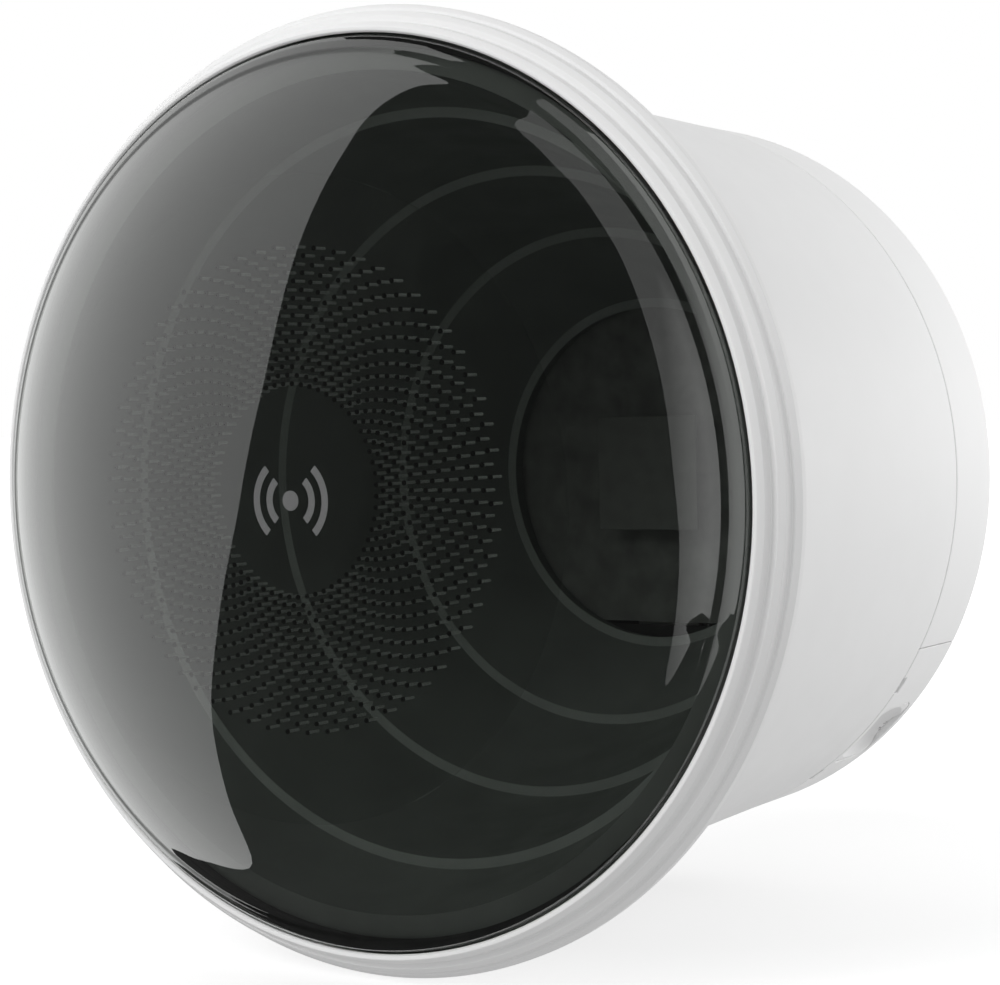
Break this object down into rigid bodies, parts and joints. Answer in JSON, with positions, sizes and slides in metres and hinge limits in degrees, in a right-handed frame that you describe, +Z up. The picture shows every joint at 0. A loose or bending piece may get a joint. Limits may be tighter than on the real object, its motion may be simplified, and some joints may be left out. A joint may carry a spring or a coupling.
{
  "type": "wireless horn access point",
  "caption": "Outdoor wireless access point: stepped horn antenna behind a smoked dome, white ridged bezel and drum, with a slide-off port cover.",
  "frame": {"origin": "centre of the flat rear mounting face", "axes": "+Y out of the rear face, the antenna looks along -Y; +Z up, the port cover is at the bottom rear; +X completes the right-handed frame"},
  "size_m": [0.19, 0.1728, 0.19],
  "materials": {
    "white_shell": "fine satin moulded ASA, UV stable",
    "smoked_clear": "polished smoked polycarbonate",
    "dark_horn": "satin black, metallised inside the shell",
    "seal_rubber": "matt",
    "circuit_board": "solder mask over glass laminate",
    "black_plastic": "fine matt",
    "thermal_pad": "soft silicone",
    "plated_steel": "bright zinc or nickel plate",
    "aluminium": "as extruded",
    "brass": "turned",
    "copper": "bare copper",
    "clear_acrylic": "polished"
  },
  "bodies": {
    "base": {"bezel_ring": "white_shell", "board_screw_1": "plated_steel", "board_screw_2": "plated_steel", "board_screw_3": "plated_steel", "board_screw_4": "plated_steel", "body_shell": "white_shell", "cap_screw_1": "plated_steel", "cap_screw_2": "plated_steel", "cap_screw_3": "plated_steel", "cap_screw_4": "plated_steel", "ethernet_transformer": "black_plastic", "feed_patch": "copper", "feed_probe_horizontal": "brass", "feed_probe_vertical": "brass", "ground_screw": "brass", "heat_sink": "aluminium", "horn": "dark_horn", "lens_plate": "smoked_clear", "light_pipe_1": "clear_acrylic", "light_pipe_2": "clear_acrylic", "light_pipe_3": "clear_acrylic", "light_pipe_4": "clear_acrylic", "main_board": "circuit_board", "mount_insert_1": "brass", "mount_insert_2": "brass", "mount_insert_3": "brass", "mount_insert_4": "brass", "port_bay_liner": "black_plastic", "power_inductor": "black_plastic", "radome": "smoked_clear", "radome_gasket": "seal_rubber", "rear_cap": "white_shell", "rear_seal": "seal_rubber", "reset_switch": "black_plastic", "rj45_jack": "plated_steel", "shield_can": "plated_steel", "thermal_pad": "thermal_pad", "vent_plug": "black_plastic"},
    "port_cover": {"port_cover": "white_shell", "cable_grommet": "seal_rubber"},
    "latch_right": {"latch_pad_right": "white_shell"},
    "latch_left": {"latch_pad_left": "white_shell"},
    "reset_button": {"reset_button": "black_plastic"}
  },
  "joints": [
    {"name": "port_cover_slide", "type": "slide", "parent": "base", "child": "port_cover", "axis": [0, 1, 0], "range_m": [0, 0.036]},
    {"name": "latch_right_press", "type": "slide", "parent": "port_cover", "child": "latch_right", "axis": [-0.6884, 0, 0.7254], "range_m": [0, 0.002], "stiffness_N_per_m": 1500},
    {"name": "latch_left_press", "type": "slide", "parent": "port_cover", "child": "latch_left", "axis": [0.6884, 0, 0.7254], "range_m": [0, 0.002], "stiffness_N_per_m": 1500},
    {"name": "reset_button_press", "type": "slide", "parent": "base", "child": "reset_button", "axis": [0, 0, 1], "range_m": [0, 0.0009], "stiffness_N_per_m": 1500}
  ]
}
